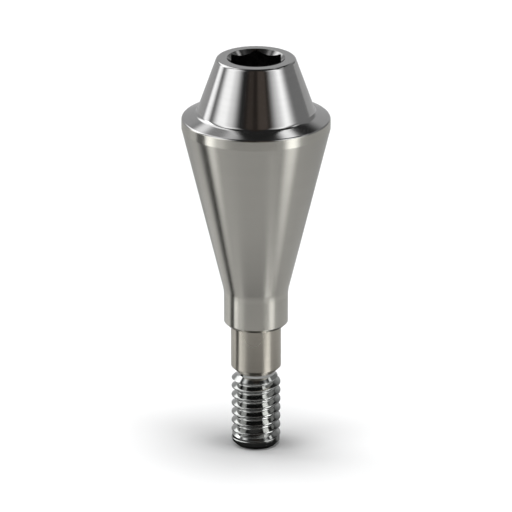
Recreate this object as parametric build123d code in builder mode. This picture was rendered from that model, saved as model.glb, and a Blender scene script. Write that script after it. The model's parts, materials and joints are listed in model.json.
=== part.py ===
"""A straight dental abutment of the screw-retained kind, turned in one piece from titanium alloy bar.

The slim end screws into an implant in the jaw and the tapered head carries the tooth.
Millimetres, +Z up. The part stands on the end face of its thread, and the origin is
the centre of that face. The photograph shows it standing in the same way.
"""
from build123d import *
from math import cos, radians, tan
import os

# Implant thread, M1.6 x 0.3, a plain cylinder at the thread's outer diameter
thread_d = 1.60
thread_length = 2.28
thread_end_chamfer = 0.15

# Relief groove, as deep as the thread's root, where the threading tool runs out
relief_d = 1.24
relief_floor_width = 0.08

# Guide, the plain shank that centres the abutment in the implant's bore
guide_d = 1.63
guide_length = 1.44

# Collar, the cylinder that fills the mouth of the implant
collar_d = 2.08
collar_length = 1.16
collar_chamfer = 0.11

# Body, the straight cone that widens through the gum
platform_d = 4.80
body_height = 5.58
body_foot_blend = 1.20

# Band round the widest place, and the shoulder that the tooth seats on
band_height = 0.34
shoulder_slope = 21.0
shoulder_edge_radius = 0.08

# Head, the cone that centres the tooth
head_height = 1.82
head_foot_d = 3.83
head_half_angle = 19.6
head_foot_fillet = 0.18
rim_radius = 0.10

# Driver socket, with two of its corners on the Y axis
hex_across_flats = 1.60
hex_depth = 1.45
mouth_margin = 0.02
mouth_angle = 45.0

# Threaded hole for the prosthetic screw, M1.4 x 0.3, at its tapping diameter
screw_hole_d = 1.10
screw_hole_length = 2.60
screw_hole_lead_in = 0.12
drill_point_half_angle = 59.0

# Heights of the sections above the end face, each stacked on the one below
relief_z = thread_length + (thread_d - relief_d) / 2
relief_top_z = relief_z + relief_floor_width
guide_z = relief_top_z + (guide_d - relief_d) / 2
collar_z = guide_z + guide_length
body_z = collar_z + collar_length
band_z = body_z + body_height
shoulder_z = band_z + band_height
shoulder_rise = (platform_d - head_foot_d) / 2 * tan(radians(shoulder_slope))
head_z = shoulder_z + shoulder_rise
top_z = head_z + head_height

# Widths that follow from the ones above
rim_d = head_foot_d - 2 * head_height * tan(radians(head_half_angle))
hex_across_corners = hex_across_flats / cos(radians(30))
mouth_d = hex_across_corners + 2 * mouth_margin


with BuildPart() as abutment:
    # The turned outside, as half of the section, swept once round the axis
    with BuildSketch(Plane.XZ) as section:
        with BuildLine():
            Polyline(
                (0, 0),
                (thread_d / 2 - thread_end_chamfer, 0),
                (thread_d / 2, thread_end_chamfer),
                (thread_d / 2, thread_length),
                (relief_d / 2, relief_z),
                (relief_d / 2, relief_top_z),
                (guide_d / 2, guide_z),
                (guide_d / 2, collar_z),
                (collar_d / 2 - collar_chamfer, collar_z),
                (collar_d / 2, collar_z + collar_chamfer),
                (collar_d / 2, body_z),
                (platform_d / 2, band_z),
                (platform_d / 2, shoulder_z),
                (head_foot_d / 2, head_z),
                (rim_d / 2, top_z),
                (0, top_z),
                close=True,
            )
        make_face()

        def corner(radius, height):
            """The corner of the section at a radius and a height."""
            return section.vertices().sort_by_distance((radius, height))[0]

        fillet(corner(collar_d / 2, body_z), body_foot_blend)
        fillet(corner(platform_d / 2, shoulder_z), shoulder_edge_radius)
        fillet(corner(head_foot_d / 2, head_z), head_foot_fillet)
        fillet(corner(rim_d / 2, top_z), rim_radius)
    revolve(axis=Axis.Z)

    # The hexagonal driver socket
    with BuildSketch(Plane.XY.offset(top_z)):
        RegularPolygon(hex_across_flats / 2, 6, major_radius=False, rotation=30)
    extrude(amount=-hex_depth, mode=Mode.SUBTRACT)

    # Everything round inside it: the countersunk mouth, the tapped hole and its drill point
    hex_floor_z = top_z - hex_depth
    screw_hole_z = hex_floor_z - screw_hole_length
    point_z = screw_hole_z - screw_hole_d / 2 / tan(radians(drill_point_half_angle))
    with BuildSketch(Plane.XZ):
        with BuildLine():
            Polyline(
                (0, point_z),
                (screw_hole_d / 2, screw_hole_z),
                (screw_hole_d / 2, hex_floor_z - screw_hole_lead_in),
                (screw_hole_d / 2 + screw_hole_lead_in, hex_floor_z),
                (0, hex_floor_z),
                close=True,
            )
        make_face()
        with BuildLine():
            Polyline(
                (0, top_z),
                (mouth_d / 2, top_z),
                (0, top_z - mouth_d / 2 / tan(radians(mouth_angle))),
                close=True,
            )
        make_face()
    revolve(axis=Axis.Z, mode=Mode.SUBTRACT)

abutment.part.label = "abutment"

os.makedirs("parts", exist_ok=True)
export_step(abutment.part, "parts/abutment.step")

print(f"height {top_z:.3f} mm, rim {rim_d:.3f} mm across, volume {abutment.part.volume:.3f} mm3")
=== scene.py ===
# %% [markdown]
# # A dental abutment in titanium
#
# The real object is one small piece of titanium alloy, 13 mm tall, turned on a lathe. Its slim end
# screws into an implant and its tapered head carries the tooth. This notebook dresses the measured
# model of it: it turns the same outline with far more facets, cuts the two fine threads and the
# driver socket, and gives each surface the finish that the machine leaves on it.
#
# The first cell loads the measured model, which every later step keeps to.

# %% Load the measured model
import json
import math

import bmesh
import bpy
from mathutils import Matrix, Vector

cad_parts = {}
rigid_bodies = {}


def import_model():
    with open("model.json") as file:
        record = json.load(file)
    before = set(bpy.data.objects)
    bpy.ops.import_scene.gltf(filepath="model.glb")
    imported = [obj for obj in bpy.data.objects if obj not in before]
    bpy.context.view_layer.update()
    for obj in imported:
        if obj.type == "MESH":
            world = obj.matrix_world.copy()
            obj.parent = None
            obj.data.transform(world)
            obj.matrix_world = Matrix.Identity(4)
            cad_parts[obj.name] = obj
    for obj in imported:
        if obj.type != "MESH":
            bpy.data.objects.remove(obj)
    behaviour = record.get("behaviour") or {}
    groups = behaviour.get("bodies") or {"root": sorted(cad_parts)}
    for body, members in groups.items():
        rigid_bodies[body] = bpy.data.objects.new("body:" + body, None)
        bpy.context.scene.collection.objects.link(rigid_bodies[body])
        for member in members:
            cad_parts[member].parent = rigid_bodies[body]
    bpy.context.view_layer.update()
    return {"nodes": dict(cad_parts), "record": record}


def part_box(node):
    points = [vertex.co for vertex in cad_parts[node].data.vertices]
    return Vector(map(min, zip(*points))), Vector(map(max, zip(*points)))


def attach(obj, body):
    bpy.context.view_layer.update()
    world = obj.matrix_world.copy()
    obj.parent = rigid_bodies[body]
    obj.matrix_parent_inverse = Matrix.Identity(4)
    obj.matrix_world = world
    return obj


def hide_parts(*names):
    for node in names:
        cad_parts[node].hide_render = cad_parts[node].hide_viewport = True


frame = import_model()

for name in ("Cube", "Light", "Camera"):
    if name in bpy.data.objects:
        bpy.data.objects.remove(bpy.data.objects[name])
print("pieces of the measured model:", list(frame["nodes"]))

# %% [markdown]
# ## Sizes
#
# Everything is modelled in millimetres, one Blender unit each, and shrunk to metres at the end.
# Blender's tools merge points closer than a tenth of a millimetre by default, which on a part this
# small would swallow the thread, so it is easier to model large and scale down once.
#
# What the measured model states is read from it. The rest are the heights and radii of the turned
# steps, from the foot upwards.

# %% Heights and radii of the turned steps, in millimetres
MM = 0.001
mounts = {mount["name"]: mount for mount in frame["record"]["mounts"]}
top = (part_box("abutment")[1].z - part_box("abutment")[0].z) / MM
thread_radius = mounts["implant_shank"]["dims"]["r_mm"]
collar_radius = mounts["implant_collar"]["dims"]["r_mm"]
screw_hole_radius = mounts["prosthetic_screw"]["dims"]["r_mm"]

thread_end = 2.28
thread_end_radius = 0.65
relief_radius = 0.62
relief_low, relief_high = 2.46, 2.54
guide_radius = 0.815
guide_low, guide_high = 2.735, 4.175
collar_chamfer = 0.11
collar_high = 5.335
platform_radius = 2.40
band_low, band_high = 10.915, 11.255
head_foot_radius = 1.915
shoulder_slope = math.radians(21)
head_foot = band_high + (platform_radius - head_foot_radius) * math.tan(shoulder_slope)
head_slope = math.radians(19.6)
rim_radius = head_foot_radius - (top - head_foot) * math.tan(head_slope)
mouth_radius = 0.944
hex_half_width = 0.80
hex_depth = 1.45
print(f"height {top:.3f} mm, rim {2 * rim_radius:.3f} mm across")

# %% [markdown]
# ## Turning the outline
#
# A lathe shapes the bar by following a profile. The same thing is done here by hand: a flat disc is
# added, and its face is extruded and resized once for each step of the profile, so the piece grows
# from its foot to its head like a stack of cones. The other way is to draw the profile and spin it.
# Extruding has the advantage that each step is a ring of tidy square faces, and that an edge ring
# can be found again later by its radius and height.


# %% Add a disc and extrude it along a profile
SIDES = 256
# Points closer than this are one point
WELD = 1e-5


def start_clean():
    """Leave edit mode and deselect everything, because operators act on all that is selected."""
    if bpy.context.object and bpy.context.object.mode == "EDIT":
        bpy.ops.object.mode_set(mode="OBJECT")
    bpy.ops.object.select_all(action="DESELECT")


def select_alone(piece):
    """Make one piece the active one, and the only one that is selected."""
    start_clean()
    piece.select_set(True)
    bpy.context.view_layer.objects.active = piece


def edit(piece, mode="VERT"):
    """Open one piece alone in edit mode, with nothing in it selected."""
    select_alone(piece)
    bpy.ops.object.mode_set(mode="EDIT")
    bpy.ops.mesh.select_mode(type=mode)
    bpy.ops.mesh.select_all(action="DESELECT")


def turn(name, profile, sides=SIDES):
    """A closed round solid whose outline follows the (radius, height) points of a profile."""
    start_clean()
    (radius, height), *steps = profile
    bpy.ops.mesh.primitive_circle_add(
        vertices=sides, radius=radius, fill_type="NGON", location=(0, 0, height)
    )
    piece = bpy.context.object
    piece.name = name
    bpy.ops.object.transform_apply(location=True)
    bpy.ops.object.mode_set(mode="EDIT")
    bpy.ops.mesh.select_all(action="SELECT")
    for next_radius, next_height in steps:
        bpy.ops.mesh.extrude_region_move(
            TRANSFORM_OT_translate={"value": (0, 0, next_height - height)}
        )
        scale = next_radius / radius
        bpy.ops.transform.resize(value=(scale, scale, 1), center_override=(0, 0, next_height))
        radius, height = next_radius, next_height
    bpy.ops.object.mode_set(mode="OBJECT")
    face_outwards(piece)
    return piece


def face_outwards(piece):
    """Weld the points of a closed solid and point every face away from its inside."""
    edit(piece)
    bpy.ops.mesh.select_all(action="SELECT")
    bpy.ops.mesh.remove_doubles(threshold=WELD)
    bpy.ops.mesh.normals_make_consistent(inside=False)
    bpy.ops.object.mode_set(mode="OBJECT")


# The countersunk mouth narrows at 45 degrees to a flat, which the socket is cut through later
mouth_cone_bottom = 0.60
# The foot of the body reaches this far into the thread, and the tap this far above its hole
overlap = 0.1
body = turn(
    "abutment_metal",
    [
        (relief_radius, thread_end - overlap),
        (relief_radius, relief_high),
        (guide_radius, guide_low),
        (guide_radius, guide_high),
        (collar_radius - collar_chamfer, guide_high),
        (collar_radius, guide_high + collar_chamfer),
        (collar_radius, collar_high),
        (platform_radius, band_low),
        (platform_radius, band_high),
        (head_foot_radius, head_foot),
        (rim_radius, top),
        (mouth_radius, top),
        (mouth_cone_bottom, top - mouth_radius + mouth_cone_bottom),
    ],
)
print("turned body:", len(body.data.polygons), "faces")

# %% [markdown]
# ## Rounding the edges
#
# No turned edge is truly sharp. The head runs into its shoulder in a small hollow left by the
# tool's nose, the shoulder and the rim are rounded over, and the cone of the body blends into the
# collar. The bevel tool does all of these. It asks for the distance from the edge to the start of
# the round, which is the radius times the tangent of half the angle the outline turns by.


# %% Bevel edge rings, chosen by radius and height
CLOSE = 1e-3


def round_ring(piece, radius, height, before, after, nose, segments=8):
    """Round the ring at (radius, height) to a nose radius; before and after are its neighbours."""
    edit(piece, "EDGE")
    mesh = bmesh.from_edit_mesh(piece.data)
    found = 0
    for edge in mesh.edges:
        on_ring = all(
            abs(vertex.co.z - height) < CLOSE and abs(vertex.co.xy.length - radius) < CLOSE
            for vertex in edge.verts
        )
        edge.select_set(on_ring)
        found += on_ring
    bmesh.update_edit_mesh(piece.data)
    here = Vector((radius, height))
    turn_angle = (here - Vector(before)).angle(Vector(after) - here)
    bpy.ops.mesh.bevel(
        offset=nose * math.tan(turn_angle / 2), segments=segments, profile=0.5, affect="EDGES"
    )
    bpy.ops.object.mode_set(mode="OBJECT")
    print(f"rounded {found} edges at radius {radius:.2f}, height {height:.2f}")


body_foot_blend = 1.2
band_foot_round = 0.06
shoulder_edge_round = 0.08
head_foot_hollow = 0.18
rim_round = 0.10
edge_break = 0.02

collar_top = (collar_radius, collar_high)
band_foot = (platform_radius, band_low)
band_top = (platform_radius, band_high)
foot_of_head = (head_foot_radius, head_foot)
rim = (rim_radius, top)
mouth = (mouth_radius, top)
mouth_bottom = (mouth_cone_bottom, top - mouth_radius + mouth_cone_bottom)
round_ring(body, *collar_top, (collar_radius, guide_high), band_foot, nose=body_foot_blend)
round_ring(body, *band_foot, collar_top, band_top, nose=band_foot_round, segments=3)
round_ring(body, *band_top, band_foot, foot_of_head, nose=shoulder_edge_round, segments=5)
round_ring(body, *foot_of_head, band_top, rim, nose=head_foot_hollow)
round_ring(body, *rim, foot_of_head, mouth, nose=rim_round)
round_ring(body, *mouth, rim, mouth_bottom, nose=edge_break, segments=3)

guide_top = (guide_radius, guide_high)
collar_foot = (collar_radius - collar_chamfer, guide_high)
collar_corner = (collar_radius, guide_high + collar_chamfer)
guide_foot = (guide_radius, guide_low)
round_ring(body, *collar_corner, collar_foot, collar_top, nose=edge_break, segments=3)
round_ring(body, *collar_foot, guide_top, collar_corner, nose=edge_break, segments=3)
round_ring(body, *guide_foot, (relief_radius, relief_high), guide_top, nose=edge_break, segments=3)

# %% [markdown]
# ## Cutting the implant thread
#
# The thread is 1.6 mm across with a pitch of 0.3 mm, right-handed. Its section is the usual 60
# degree triangle with a flat crest and a flat root, and their corners are slightly rounded, as a
# cutting tool leaves them. One pitch of that section is drawn as a line of points by extruding a
# vertex, and the Screw modifier sweeps it round the axis while it climbs. A swept thread has the
# right slope everywhere, where stacked rings would only look like one.


# %% One pitch of the thread section, swept up by the Screw modifier
PITCH = 0.30
FLANK_SLOPE = math.tan(math.radians(30))
# Each corner is rounded over this share of the flat beside it
CORNER_SHARE = 0.3


def cut_flat(piece, height, keep_above):
    """Slice a piece at a height, drop one side and close the cut."""
    edit(piece)
    bpy.ops.mesh.select_all(action="SELECT")
    bpy.ops.mesh.bisect(
        plane_co=(0, 0, height), plane_no=(0, 0, 1), use_fill=True,
        clear_inner=keep_above, clear_outer=not keep_above, threshold=WELD,
    )
    bpy.ops.object.mode_set(mode="OBJECT")


def threaded_rod(name, crest, root, low, high, phase, steps=96):
    """A threaded rod between two heights; phase is the height of a crest on the -X side."""
    flank = (crest - root) * FLANK_SLOPE
    crest_flat = PITCH / 8
    root_flat = PITCH - crest_flat - 2 * flank
    section = [
        (root, 0),
        (root, root_flat / 2),
        (crest, root_flat / 2 + flank),
        (crest, root_flat / 2 + flank + crest_flat),
        (root, PITCH - root_flat / 2),
        (root, PITCH),
    ]
    # The sweep starts two to three turns too low, so that whole turns are left when it is cut flat
    start = phase - PITCH * math.ceil((phase - low) / PITCH + 2)
    # A small plane, merged into one point, is the vertex that the section is extruded from
    start_clean()
    bpy.ops.mesh.primitive_plane_add(size=0.01)
    rod = bpy.context.object
    rod.name = name
    edit(rod)
    bpy.ops.mesh.select_all(action="SELECT")
    bpy.ops.mesh.merge(type="CENTER")
    x, z = section[0]
    bpy.ops.transform.translate(value=(x, 0, start + z))
    for next_x, next_z in section[1:]:
        bpy.ops.mesh.extrude_vertices_move(
            TRANSFORM_OT_translate={"value": (next_x - x, 0, next_z - z)}
        )
        x, z = next_x, next_z
    for corner_radius, flat in ((root, root_flat), (crest, crest_flat)):
        bpy.ops.mesh.select_all(action="DESELECT")
        mesh = bmesh.from_edit_mesh(rod.data)
        for vertex in mesh.verts:
            is_corner = len(vertex.link_edges) == 2
            vertex.select_set(is_corner and abs(vertex.co.x - corner_radius) < CLOSE)
        bmesh.update_edit_mesh(rod.data)
        bpy.ops.mesh.bevel(offset=CORNER_SHARE * flat, segments=3, profile=0.5, affect="VERTICES")
    bpy.ops.object.mode_set(mode="OBJECT")
    screw = rod.modifiers.new("Thread", "SCREW")
    screw.axis = "Z"
    screw.angle = math.tau
    screw.screw_offset = PITCH
    screw.iterations = math.ceil((high - start) / PITCH) + 1
    screw.steps = screw.render_steps = steps
    screw.use_merge_vertices = True
    screw.merge_threshold = 1e-4
    bpy.ops.object.modifier_apply(modifier="Thread")
    cut_flat(rod, low, keep_above=True)
    cut_flat(rod, high, keep_above=False)
    face_outwards(rod)
    print(name, len(rod.data.polygons), "faces")
    return rod


thread_root = 0.625
crest_at_left = 0.20
# A solid that is cut flat, or cuts another, goes on this far past the place that counts
spare = 0.2
thread = threaded_rod(
    "implant_thread", thread_radius, thread_root, -spare, relief_low + spare, crest_at_left
)

# %% [markdown]
# ## Chamfering the thread and joining it on
#
# On the machine the bar is chamfered before it is threaded, so that the first turn starts small and
# the last one runs out into the groove. The first turn is shallow too, where the tool comes in, so
# a plain pilot a little slimmer than the crest fills its groove. A plain blank with both chamfers,
# wider than the thread between them, is then intersected with the rod. The Boolean modifier does
# this and all that follows: the thread is joined to the body, and the socket is cut out of the
# head. Its exact solver keeps the shell closed, which the check after each step confirms. Pilot and
# blank have fewer sides than the body, because edges of two solids that lie along each other are
# what that solver gets wrong.


# %% Join, cut and intersect solids with the Boolean modifier
def combine(piece, tool, operation):
    """Join, cut or intersect a piece with a tool solid, then remove the tool."""
    select_alone(piece)
    boolean = piece.modifiers.new("Cut", "BOOLEAN")
    boolean.operation = operation
    boolean.object = tool
    boolean.solver = "EXACT"
    bpy.ops.object.modifier_apply(modifier="Cut")
    bpy.data.objects.remove(tool)
    check_closed(piece)


def check_closed(piece):
    """Print how many edges of a piece are open, and the volume that it holds."""
    mesh = bmesh.new()
    mesh.from_mesh(piece.data)
    open_edges = sum(not edge.is_manifold for edge in mesh.edges)
    print(
        f"{piece.name}: {len(mesh.faces)} faces, {open_edges} open edges, "
        f"{mesh.calc_volume(signed=True):.2f} mm3"
    )
    mesh.free()


pilot_radius, pilot_high = 0.775, 0.34
# Both solids are turned this much past the surface where they run out
run_out = 0.02
pilot = turn(
    "thread_pilot",
    [
        (pilot_radius, -spare / 2),
        (pilot_radius, pilot_high),
        (thread_root - run_out, pilot_high + pilot_radius - thread_root + run_out),
    ],
    sides=SIDES - 11,
)
combine(thread, pilot, "UNION")

blank_radius = 1.0
blank = turn(
    "thread_blank",
    [
        (thread_end_radius, 0),
        (blank_radius, blank_radius - thread_end_radius),
        (blank_radius, relief_low + relief_radius - blank_radius),
        (relief_radius - run_out, relief_low + run_out),
    ],
    sides=SIDES - 5,
)
combine(thread, blank, "INTERSECT")
combine(body, thread, "UNION")

# %% [markdown]
# ## The driver socket and the tapped hole
#
# The head holds a hexagonal socket, 1.6 mm across its flats, that a driver turns. Below it the hole
# is drilled and tapped for the screw that fastens the tooth. The photograph shows only its dark
# mouth, so the depths are typical ones. Each tool is modelled as the solid it sweeps: a six-sided
# prism for the broach, a turned point for the drill and a threaded rod for the tap.

# %% Broach, drill and tap
hex_floor = top - hex_depth
hex_corner_round = 0.05
start_clean()
bpy.ops.mesh.primitive_cylinder_add(
    vertices=6,
    radius=hex_half_width / math.cos(math.radians(30)),
    depth=hex_depth + spare,
    location=(0, 0, (hex_floor + top + spare) / 2),
)
broach = bpy.context.object
bpy.ops.object.transform_apply(location=True)
edit(broach, "EDGE")
mesh = bmesh.from_edit_mesh(broach.data)
# Only the six upright edges are longer than the socket is deep
for edge in mesh.edges:
    edge.select_set(abs(edge.verts[0].co.z - edge.verts[1].co.z) > hex_depth)
bmesh.update_edit_mesh(broach.data)
bpy.ops.mesh.bevel(offset=hex_corner_round, segments=3, profile=0.5, affect="EDGES")
bpy.ops.object.mode_set(mode="OBJECT")
combine(body, broach, "DIFFERENCE")

# The drill is a hair slimmer than the root of the tap, and its tip is a tiny disc, where its
# turning starts. Its lead-in is a 45 degree cone that goes on a little above the socket's floor
screw_hole_depth = 2.60
lead_in = 0.12
drill_point = 0.33
drill_tip_radius = 0.01
hair = 0.005
drill_radius = screw_hole_radius - hair
lead_in_radius = screw_hole_radius + lead_in + 2 * hair
drill = turn(
    "drill",
    [
        (drill_tip_radius, hex_floor - screw_hole_depth - drill_point),
        (drill_radius, hex_floor - screw_hole_depth),
        (drill_radius, hex_floor - lead_in),
        (lead_in_radius, hex_floor + 3 * hair),
        (lead_in_radius, hex_floor + spare),
    ],
    sides=96,
)
combine(body, drill, "DIFFERENCE")

tapped_depth = 2.3
tap_radius = 0.70
tap_low, tap_high = hex_floor - tapped_depth, hex_floor + overlap
tap = threaded_rod("tap", tap_radius, screw_hole_radius, tap_low, tap_high, phase=0.1, steps=48)
combine(body, tap, "DIFFERENCE")

# %% [markdown]
# ## Smooth shading
#
# Each facet is still flat. Smooth shading blends the facets into one round surface, and an angle of
# 30 degrees keeps the true corners crisp. The Weighted Normal modifier then lets the large faces
# set the shading at a shared edge, so a long cone next to a tiny round stays straight to the end.

# %% Shade smooth and weight the normals by face area
select_alone(body)
bpy.ops.object.shade_smooth_by_angle(angle=math.radians(30))
weighted = body.modifiers.new("Weighted", "WEIGHTED_NORMAL")
weighted.mode = "FACE_AREA"
weighted.keep_sharp = True
bpy.ops.object.modifier_apply(modifier="Weighted")
print("edges kept crisp:", sum(edge.use_edge_sharp for edge in body.data.edges))

# %% [markdown]
# ## The colour and finish of titanium
#
# Titanium reflects about half of the light that falls on it, a little less in blue, which makes it
# greyer and warmer than steel. What tells its surfaces apart is how they were finished:
#
# - the head and its shoulder are polished, and mirror the studio almost sharply;
# - the socket inside the head is cut by a broach, a little duller, and painted darker as shade;
# - the thread is cut to a fine finish, so that each flank flashes as brightly as the head;
# - the body is left as turned. The tool leaves grooves that run round the part, so light spreads
#   along its length and stays sharp round it. That is what the anisotropic setting of the shader
#   does, turned by a quarter so that it spreads across the grooves;
# - the band and the collar fit other parts. They are turned with a finer feed and look lighter;
# - the guide is turned too, and a thin oxide makes it a shade browner.
#
# The real grooves are a few thousandths of a millimetre apart, too fine for the render to show, so
# they are drawn ten times as coarse and very shallow. A helper turns the hex colours to linear
# values, and another adds a node with its settings and links.


# %% Colour and node helpers
def linear(hex_code):
    """An sRGB hex colour as linear red, green, blue and alpha."""
    channels = [int(hex_code[i : i + 2], 16) / 255 for i in (1, 3, 5)]
    return (
        *[c / 12.92 if c <= 0.04045 else ((c + 0.055) / 1.055) ** 2.4 for c in channels],
        1.0,
    )


def add_node(tree, kind, settings=None, **inputs):
    """Add a node, set its properties, and set or link its inputs by name."""
    node = tree.nodes.new(kind)
    for name, value in (settings or {}).items():
        setattr(node, name, value)
    for name, value in inputs.items():
        socket = node.inputs[int(name[1:]) if name[1:].isdigit() else name.replace("_", " ")]
        if isinstance(value, bpy.types.NodeSocket):
            tree.links.new(value, socket)
        else:
            socket.default_value = value
    return node


# %% One titanium material for each finish
def titanium(name, colour, roughness, spread, groove_width, groove_depth):
    """Titanium with grooves sized in millimetres; spread is how far light spreads across them."""
    material = bpy.data.materials.new(name)
    material.use_nodes = True
    tree = material.node_tree
    tree.nodes.clear()
    place = add_node(tree, "ShaderNodeTexCoord")
    # Grooves run round the axis, so the pattern changes along Z and hardly across it
    hardly = 0.02
    across = add_node(
        tree, "ShaderNodeMapping", Vector=place.outputs["Object"], Scale=(hardly, hardly, 1.0)
    )
    # One cell of the noise is two widths long: a groove and the ridge beside it
    grooves = add_node(
        tree, "ShaderNodeTexNoise", {"noise_dimensions": "3D"},
        Vector=across.outputs["Vector"], Scale=0.5 / (groove_width * MM), Detail=3.0, Roughness=0.6,
    )
    # Handling leaves cloudy patches, up to 15 per cent smoother or rougher
    cloud_width, cloudiness = 1.5, 0.15
    clouds = add_node(
        tree, "ShaderNodeTexNoise", Vector=place.outputs["Object"],
        Scale=0.5 / (cloud_width * MM), Detail=2.0,
    )
    bump = add_node(
        tree, "ShaderNodeBump", Height=grooves.outputs["Fac"], Strength=1.0,
        Distance=groove_depth * MM,
    )
    # The grooves also differ in shade, by up to 5 per cent
    uneven = 0.05
    tint = add_node(
        tree, "ShaderNodeMapRange", Value=grooves.outputs["Fac"],
        To_Min=1.0 - uneven, To_Max=1.0 + uneven,
    )
    shade = add_node(
        tree, "ShaderNodeVectorMath", {"operation": "SCALE"},
        Vector=linear(colour)[:3], Scale=tint.outputs["Result"],
    )
    rough = add_node(
        tree, "ShaderNodeMapRange", Value=clouds.outputs["Fac"],
        To_Min=roughness * (1.0 - cloudiness), To_Max=roughness * (1.0 + cloudiness),
    )
    shader = add_node(
        tree, "ShaderNodeBsdfPrincipled", Base_Color=shade.outputs["Vector"], Metallic=1.0,
        Roughness=rough.outputs["Result"], Anisotropic=spread, Anisotropic_Rotation=0.25,
        Normal=bump.outputs["Normal"],
    )
    add_node(tree, "ShaderNodeOutputMaterial", Surface=shader.outputs["BSDF"])
    return material


# Polished alloy: a nearly sharp mirror, so the studio's lights read as bands
polished = titanium("titanium_polished", "#bfbebd", 0.12, 0.0, 0.03, 0.00002)
# Socket walls scraped by the broach: a little duller, and painted darker than the head as shade
socket_painted_shade = titanium("titanium_socket_painted_shade", "#9a9998", 0.14, 0.0, 0.03, 0.00002)
# Turned alloy: satin along its length and sharp round it, so bands become long soft streaks
turned = titanium("titanium_turned", "#b7b5ae", 0.22, 1.0, 0.06, 0.0003)
# Finely turned alloy: the same streaks, softer and a shade lighter
collar_finish = titanium("titanium_collar", "#c3c1b9", 0.26, 1.0, 0.05, 0.0002)
# Turned alloy under a thin oxide: duller and a shade browner
guide_finish = titanium("titanium_guide", "#beb9ae", 0.29, 1.0, 0.06, 0.0003)
# Thread-cut alloy: the sharpest mirror, so each flank sparkles
thread_finish = titanium("titanium_thread", "#b8b9b7", 0.08, 0.0, 0.03, 0.00001)
finishes = [polished, socket_painted_shade, turned, collar_finish, guide_finish, thread_finish]
print("finishes:", [finish.name for finish in finishes])

# %% [markdown]
# ## Giving each surface its finish
#
# The piece is one mesh, so the finishes are told apart by where a face lies. Each face is given the
# material of the turned step that holds its centre.

# %% Assign the finishes by height
for finish in finishes:
    body.data.materials.append(finish)
POLISHED, SOCKET_PAINTED_SHADE, TURNED, COLLAR, GUIDE, THREAD = range(len(finishes))
# The polish starts partway round the shoulder's edge, the flat under the collar is part of the
# collar, and the finer feed ends within the blend above it
shoulder_line = band_high - 0.02
guide_line = guide_high - 0.01
collar_line = collar_high + 0.05
hole_end = hex_floor - screw_hole_depth - drill_point - spare
for face in body.data.polygons:
    height = face.center.z
    inside = face.center.xy.length < mouth_radius and height > hole_end
    if inside:
        # The socket's faces take the darker finish, whose colour is painted shade
        face.material_index = SOCKET_PAINTED_SHADE
    elif height > shoulder_line:
        face.material_index = POLISHED
    elif height < relief_high:
        face.material_index = THREAD
    elif height < guide_line:
        face.material_index = GUIDE
    elif height < collar_line or height > band_low:
        face.material_index = COLLAR
    else:
        face.material_index = TURNED
for index, finish in enumerate(finishes):
    count = sum(face.material_index == index for face in body.data.polygons)
    print(finish.name, "on", count, "faces")

# %% [markdown]
# ## From millimetres to metres
#
# The finished piece is shrunk once, and the scale is applied so that the object itself sits at the
# origin, unscaled, with its size in its mesh.

# %% Shrink the piece, attach it to the root body and hide the measured part
select_alone(body)
body.scale = (MM, MM, MM)
bpy.ops.object.transform_apply(scale=True)
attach(body, "root")
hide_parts("abutment")
print("size in metres:", [round(side, 6) for side in body.dimensions])

# %% [markdown]
# ## The studio
#
# Polished metal has no look of its own: it shows the room. The photograph was lit by two tall
# softboxes, left and right of the camera, each with a brighter core. Between them the room is dark
# and a little warm. That gap draws the stripe down the front of the head, and the boxes draw the
# bright bands beside it. Behind the part stand a narrow box to the left, dim walls, and a few small
# lamps high up, which the shoulder and the mouth of the socket catch as sparks. The softboxes could
# be area lights, but those have hard edges. Here they are drawn on the world itself, by azimuth and
# elevation, where each can fade out as a real softbox does.
#
# Azimuth is 0 behind the camera and grows to its right, so 180 is behind the part.


# %% Softboxes with soft edges, drawn on the world
world = bpy.data.worlds.new("studio")
world.use_nodes = True
bpy.context.scene.world = world
sky = world.node_tree
sky.nodes.clear()
direction = add_node(sky, "ShaderNodeTexCoord").outputs["Generated"]


def calculate(tree, operation, *values):
    """One math node on up to three values or links."""
    numbered = {f"_{place}": value for place, value in enumerate(values)}
    return add_node(tree, "ShaderNodeMath", {"operation": operation}, **numbered).outputs[0]


def azimuth_of(tree, parts):
    """The azimuth of a direction, from its X and Y parts."""
    towards_camera = calculate(tree, "MULTIPLY", parts["Y"], -1.0)
    return calculate(tree, "ARCTAN2", parts["X"], towards_camera)


def window(tree, angle, low, high, edge):
    """1 between two angles in degrees and 0 outside, with a smooth edge of that many degrees."""
    half = (high - low) / 2
    offset = calculate(tree, "SUBTRACT", angle, math.radians((low + high) / 2))
    turned_back = calculate(tree, "WRAP", offset, math.pi, -math.pi)
    fade = add_node(
        tree, "ShaderNodeMapRange", {"interpolation_type": "SMOOTHSTEP"},
        Value=calculate(tree, "ABSOLUTE", turned_back),
        From_Min=math.radians(half + edge / 2), From_Max=math.radians(half - edge / 2),
    )
    return fade.outputs["Result"]


parts = add_node(sky, "ShaderNodeSeparateXYZ", Vector=direction).outputs
azimuth = azimuth_of(sky, parts)
elevation = calculate(sky, "ARCSINE", parts["Z"])


# %% Every light of the studio, by azimuth, elevation and brightness
def softbox(azimuths, elevations, brightness, edge=12, rise=12):
    """A light between two azimuths and two elevations, as bright as paper white times brightness."""
    across = window(sky, azimuth, *azimuths, edge)
    up = window(sky, elevation, *elevations, rise)
    return calculate(sky, "MULTIPLY", calculate(sky, "MULTIPLY", across, up), brightness)


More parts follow.
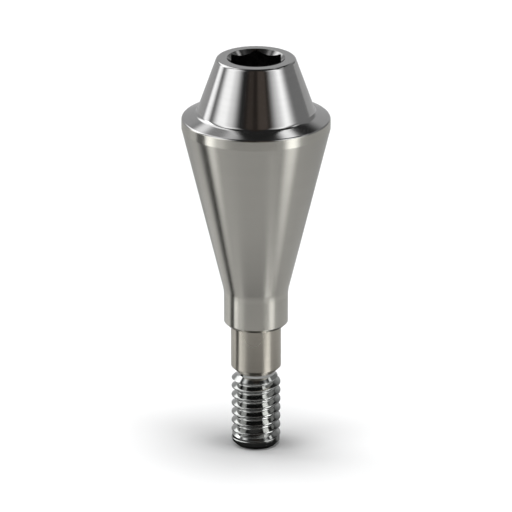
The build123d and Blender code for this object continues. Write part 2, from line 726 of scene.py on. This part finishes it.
tall = (-30, 56)
wall_high = (-30, 40)
softboxes = [
    # The left softbox and its core
    softbox((-88, -43.5), tall, 1.15, edge=24),
    softbox((-88, -60), tall, 0.55, edge=14),
    # The right softbox and its core
    softbox((39, 77), tall, 1.05, edge=26),
    softbox((56, 73), tall, 0.72, edge=16),
    # Two faint glows in the dark gap between them
    softbox((-19, -6), tall, 0.03, edge=6),
    softbox((4, 24), tall, 0.062, edge=8),
    # A dim wall at the right and a dim strip of wall at the left
    softbox((74, 150), wall_high, 0.23, edge=10),
    softbox((-104, -88), wall_high, 0.14, edge=8),
    # The narrow box to the left, and the walls beside it and behind the part
    softbox((-119, -103), wall_high, 1.45, edge=10),
    softbox((-150, -110), wall_high, 0.42),
    softbox((150, 210), (-30, 34), 0.45),
    # The high lamp at the left, which the upper flanks of the thread mirror too
    softbox((-150, -104), (22, 66), 1.5, edge=8, rise=10),
    # The small lamps: four behind the part and one at its right
    softbox((-163, -150), (36.5, 60), 0.33, edge=6, rise=6),
    softbox((-163, -150), (35.5, 43.5), 1.0, edge=6, rise=5),
    softbox((-168, -150), (55, 61), 0.7, edge=6, rise=5),
    softbox((150, 164), (50.5, 57), 1.7, edge=6, rise=4),
    softbox((94, 108), (40, 50), 1.2, edge=6, rise=5),
]
room_light = 0.029
total = room_light
for light in softboxes:
    total = calculate(sky, "ADD", total, light)
# The gap in front is warm and the rest is nearly neutral. A colour Mix node numbers its factor 0,
# its two colours 6 and 7, and its result 2
warmth = window(sky, azimuth, -24, 30, 12)
tint = add_node(
    sky, "ShaderNodeMix", {"data_type": "RGBA"},
    _0=warmth, _6=linear("#fdfeff"), _7=linear("#ffeadb"),
)
room = add_node(sky, "ShaderNodeBackground", Color=tint.outputs[2], Strength=total)
backdrop = add_node(sky, "ShaderNodeBackground", Color=linear("#ffffff"), Strength=1.0)
# The camera sees a plain white backdrop, and the metal sees the room
ray = add_node(sky, "ShaderNodeLightPath")
seen = add_node(
    sky, "ShaderNodeMixShader", _0=ray.outputs["Is Camera Ray"],
    _1=room.outputs["Background"], _2=backdrop.outputs["Background"],
)
add_node(sky, "ShaderNodeOutputWorld", Surface=seen.outputs["Shader"])
print(len(softboxes), "softboxes in", len(sky.nodes), "world nodes")

# %% [markdown]
# ## Floor and overhead light
#
# The floor is white paper. A wide lamp above lights it and casts the soft shade around the foot. It
# is kept out of reflections, so the polished rim doesn't mirror it, and the paper's colour is
# painted a little darker right at the foot, as painted shade where the two touch. In the metal the
# paper
# shows a painted grey: painted shade near the foot, where the part would shade it, and painted pools
# of light below the two softboxes. A painted dark sector to the left draws the thin dark line down
# the left of the body. The pools and the dark sector are drawn as sectors of the paper, by azimuth
# and distance from the foot, so they too can have soft edges. Only reflections see them, because the
# ray from the camera is told apart by the Light Path node.

# %% Paper floor and the painted shades that change outwards from the foot
start_clean()
bpy.ops.mesh.primitive_plane_add(size=4.0)
floor = bpy.context.object
floor.name = "studio_floor"
paper = bpy.data.materials.new("white_paper")
paper.use_nodes = True
tree = paper.node_tree
tree.nodes.clear()
place = add_node(tree, "ShaderNodeTexCoord")
# The shades of the paper change within this distance of the foot
reach = 30 * MM


def along(*stops, stretch=1.0):
    """A brightness that follows (distance from the foot in millimetres, brightness) stops."""
    wide = add_node(
        tree, "ShaderNodeMapping", Vector=place.outputs["Object"], Scale=(1.0, stretch, 1.0)
    )
    distance = add_node(
        tree, "ShaderNodeVectorMath", {"operation": "LENGTH"}, Vector=wide.outputs["Vector"]
    )
    share = calculate(tree, "DIVIDE", distance.outputs["Value"], reach)
    ramp = add_node(tree, "ShaderNodeValToRGB", Fac=share)
    # A new ramp has two stops of its own, at its ends, which are taken out afterwards
    for millimetres, brightness in stops:
        stop = ramp.color_ramp.elements.new(millimetres * MM / reach)
        stop.color = (brightness, brightness, brightness, 1)
    ramp.color_ramp.elements.remove(ramp.color_ramp.elements[0])
    ramp.color_ramp.elements.remove(ramp.color_ramp.elements[-1])
    return ramp.outputs["Color"]


floor_parts = add_node(tree, "ShaderNodeSeparateXYZ", Vector=place.outputs["Object"]).outputs
around = azimuth_of(tree, floor_parts)
# Seen by the camera, the paper is painted darker towards the foot: painted shade where the part
# touches it
painted_contact_shade = along((1.0, 0.74), (1.4, 0.79), (1.8, 0.86), (2.5, 0.905), stretch=2.0)
# The grey that reflections see, with painted shade near the foot where the part would shade the
# paper
grey = along(
    (0.8, 0.04), (1.35, 0.03), (1.65, 0.015), (4.5, 0.015),
    (6.5, 0.495), (13, 0.51), (18, 0.4), (29, 0.41),
)
# Painted pools of light, by distance from the foot
foot_ring = along((1.3, 0), (1.5, 0.8), (1.85, 1), (2.0, 0))
far_pool = along((12, 0), (15, 0.5), (18, 0.9), (26, 1.3))
left_pool = along((1.4, 0), (1.85, 1), (4.4, 1), (5.5, 0))
right_pool = along((1.3, 0), (1.7, 1), (4.4, 1), (5.5, 0))
farthest_pool = along((25, 0), (30, 1))


# %% Painted pools of light and the painted dark sector, as sectors of those shades
def patch(low, high, edge, brightness, extent):
    """A patch of floor between two azimuths, as bright as its extent outwards times brightness."""
    across = calculate(tree, "MULTIPLY", window(tree, around, low, high, edge), brightness)
    return calculate(tree, "MULTIPLY", across, extent)


pools = [
    # A faint painted ring of light at the foot, and a lighter painted stretch of it at the right and
    # behind
    patch(-75, 150, 30, 0.1, foot_ring),
    patch(84, 150, 16, 0.3, along((0.95, 1), (1.7, 1), (2.1, 0.2), (2.6, 0))),
    # Painted pools of light far out, below the left and the right softbox
    patch(-89, -67, 14, 0.95, far_pool),
    patch(47, 66, 14, 1.2, far_pool),
    # Three weaker painted pools: halfway out at the right, farthest out at the left, and behind at
    # the left
    patch(54, 70, 8, 0.06, along((7, 0), (8, 1), (11, 1), (13, 0))),
    patch(-78, -50, 14, 0.35, farthest_pool),
    patch(-140, -108, 10, 0.15, along((9, 0), (12, 1), (18, 1), (24, 0))),
    # Painted pools close by, below the left and the right softbox
    patch(-100, -56, 12, 1.0, left_pool),
    patch(38, 68, 10, 2.8, right_pool),
]
shine = grey
for pool in pools:
    shine = calculate(tree, "ADD", shine, pool)
# A painted dark sector, painted shade that only reflections see, takes nearly all of the light from
# its part of the floor, so it is multiplied on
painted_dark_sector = patch(-101.5, -82.5, 5, -0.98, along((4, 0), (6, 1)))
shine = calculate(tree, "MULTIPLY", shine, calculate(tree, "ADD", painted_dark_sector, 1.0))
mirrored = add_node(tree, "ShaderNodeCombineColor", Red=shine, Green=shine, Blue=shine)
# Only reflections see the grey and its pools, which are painted. The camera sees white paper with
# painted shade right at the foot
ray = add_node(tree, "ShaderNodeLightPath")
paper_colour = add_node(
    tree, "ShaderNodeMix", {"data_type": "RGBA"}, _0=ray.outputs["Is Glossy Ray"],
    _6=painted_contact_shade, _7=mirrored.outputs["Color"],
)
paper_shader = add_node(tree, "ShaderNodeBsdfDiffuse", Color=paper_colour.outputs[2])
add_node(tree, "ShaderNodeOutputMaterial", Surface=paper_shader.outputs["BSDF"])
floor.data.materials.append(paper)
print(len(pools), "pools and a card in", len(tree.nodes), "paper nodes")

# %% Overhead lamp, which reflections don't see
start_clean()
bpy.ops.object.light_add(type="SUN", location=(0, 0, 0.3))
overhead = bpy.context.object
overhead.name = "overhead_lamp"
overhead.data.energy = 2.2
overhead.data.angle = math.radians(27)
overhead.rotation_euler.y = math.radians(2)
overhead.visible_glossy = False
print(f"overhead lamp {math.degrees(overhead.data.angle):.0f} degrees across")

# %% [markdown]
# ## The camera
#
# The photograph was taken from 20 degrees above the table and 176 mm away. The camera stands there,
# with a lens long enough that the part fills the picture.

# %% Camera
camera_elevation = math.radians(20.2)
camera_distance = 0.1765
aim = Vector((0, 0, 0.0065))
picture_height = 0.0166
away = Vector((0, -math.cos(camera_elevation), math.sin(camera_elevation)))
start_clean()
bpy.ops.object.camera_add(
    location=aim + away * camera_distance, rotation=(math.pi / 2 - camera_elevation, 0, 0)
)
camera = bpy.context.object
camera.data.sensor_width = 36.0
camera.data.lens = camera.data.sensor_width * camera_distance / picture_height
camera.data.clip_start = 0.01
camera.data.clip_end = 20.0
bpy.context.scene.camera = camera
bpy.context.scene.view_settings.view_transform = "Standard"
print(f"camera lens {camera.data.lens:.0f} mm, {1000 * camera_distance:.1f} mm from what it aims at")
